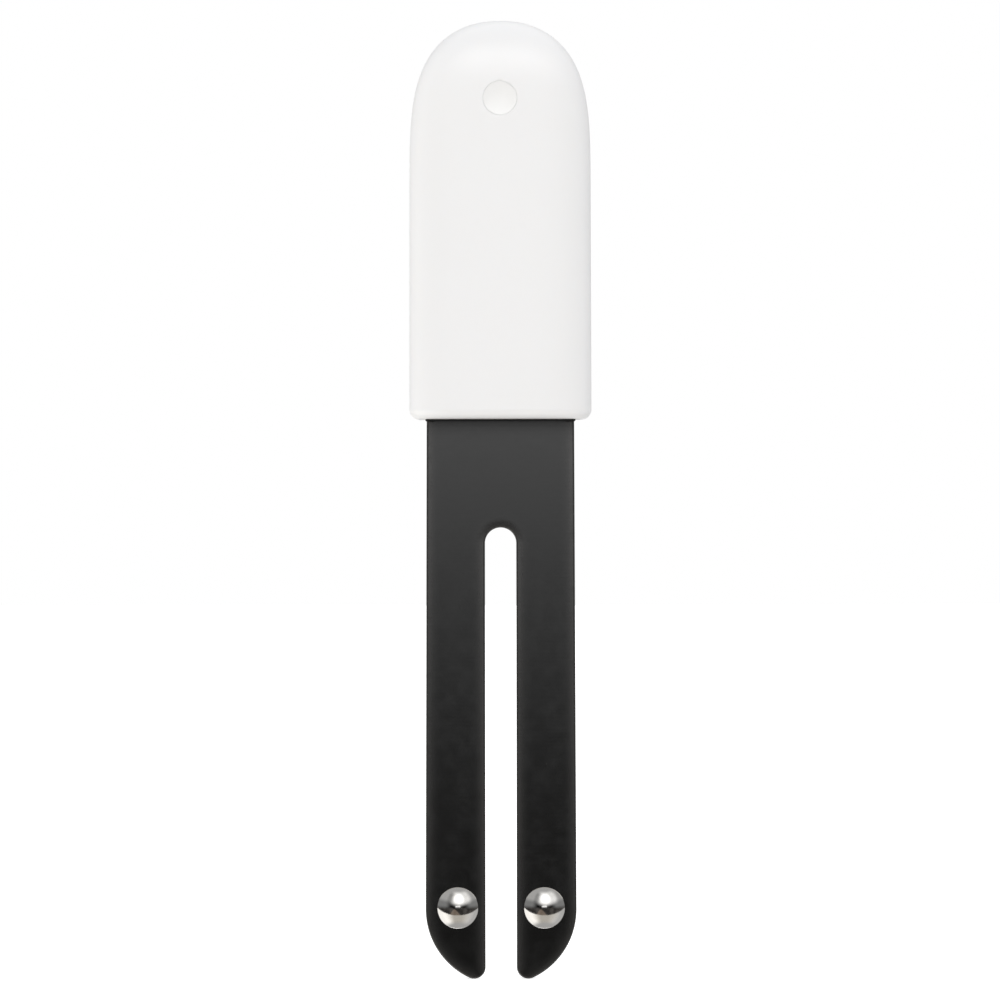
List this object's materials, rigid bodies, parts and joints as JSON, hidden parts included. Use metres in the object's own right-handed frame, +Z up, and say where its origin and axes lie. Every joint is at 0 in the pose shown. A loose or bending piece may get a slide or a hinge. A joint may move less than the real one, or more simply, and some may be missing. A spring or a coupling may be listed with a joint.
{
  "type": "plant soil sensor",
  "caption": "Wireless soil sensor: black circuit board blade with two tines and domed steel electrodes, under a white pull-off cap that covers the electronics and coin cell.",
  "frame": {"origin": "centre of the board's section where it leaves the housing, level with the housing's underside, which is the soil line in use", "axes": "+Z up along the sensor towards the cap's top, +X to the right seen from the front, -Y out of the front face with the window and electrodes"},
  "size_m": [0.0238, 0.0125, 0.1249],
  "materials": {
    "cap_white": "satin white moulded plastic, very fine moulded texture",
    "window_frost": "frosted translucent moulding",
    "plug_white": "satin white moulded plastic",
    "seal_silicone": "translucent grey silicone",
    "collar_rubber": "matt black rubber",
    "frame_white": "matt white moulded plastic",
    "tray_white": "matt white moulded plastic",
    "pipe_clear": "clear polished acrylic",
    "board_mask": "satin black solder mask over a brown glass-fibre laminate",
    "electrode_steel": "polished stainless steel",
    "collar_tin": "tin-plated steel, satin",
    "chip_black": "matt black moulding compound",
    "crystal_steel": "nickel-plated lid",
    "sensor_clear": "clear amber package",
    "led_white": "white package with a clear dome",
    "thermistor_dark": "dark brown ceramic with tinned ends",
    "antenna_copper": "gold-plated copper trace",
    "capacitor_tan": "tan ceramic with tinned ends",
    "resistor_black": "black glazed ceramic with tinned ends",
    "inductor_grey": "grey ferrite",
    "contact_nickel": "nickel-plated spring steel",
    "cell_steel": "satin stainless steel with a turned grain",
    "cell_cap_steel": "satin stainless steel",
    "gasket_dark": "dark polypropylene",
    "anode_lithium": "dull soft metal",
    "separator_white": "white porous sheet",
    "cathode_black": "pressed black powder"
  },
  "bodies": {
    "probe": {"base_plug": "plug_white", "seal_ring": "seal_silicone", "blade_seal": "collar_rubber", "chassis_front": "frame_white", "battery_tray": "tray_white", "light_pipe": "pipe_clear", "probe_board": "board_mask", "electrode_left": "electrode_steel", "electrode_right": "electrode_steel", "electrode_collar_left": "collar_tin", "electrode_collar_right": "collar_tin", "radio_chip": "chip_black", "flash_chip": "chip_black", "sensor_chip": "chip_black", "main_crystal": "crystal_steel", "clock_crystal": "crystal_steel", "light_sensor": "sensor_clear", "status_led": "led_white", "thermistor": "thermistor_dark", "antenna_trace": "antenna_copper", "inductor": "inductor_grey", "positive_contact": "contact_nickel", "negative_contact": "contact_nickel", "cell_can": "cell_steel", "cell_cap": "cell_cap_steel", "cell_gasket": "gasket_dark", "cell_anode": "anode_lithium", "cell_separator": "separator_white", "cell_cathode": "cathode_black", "capacitor_1": "capacitor_tan", "capacitor_2": "capacitor_tan", "capacitor_3": "capacitor_tan", "capacitor_4": "capacitor_tan", "capacitor_5": "capacitor_tan", "capacitor_6": "capacitor_tan", "resistor_1": "resistor_black", "resistor_2": "resistor_black", "resistor_3": "resistor_black", "resistor_4": "resistor_black"},
    "cap": {"cap_shell": "cap_white", "light_window": "window_frost"}
  },
  "joints": [
    {"name": "cap_slide", "type": "slide", "parent": "probe", "child": "cap", "axis": [0, 0, 1], "range_m": [0, 0.055]}
  ]
}
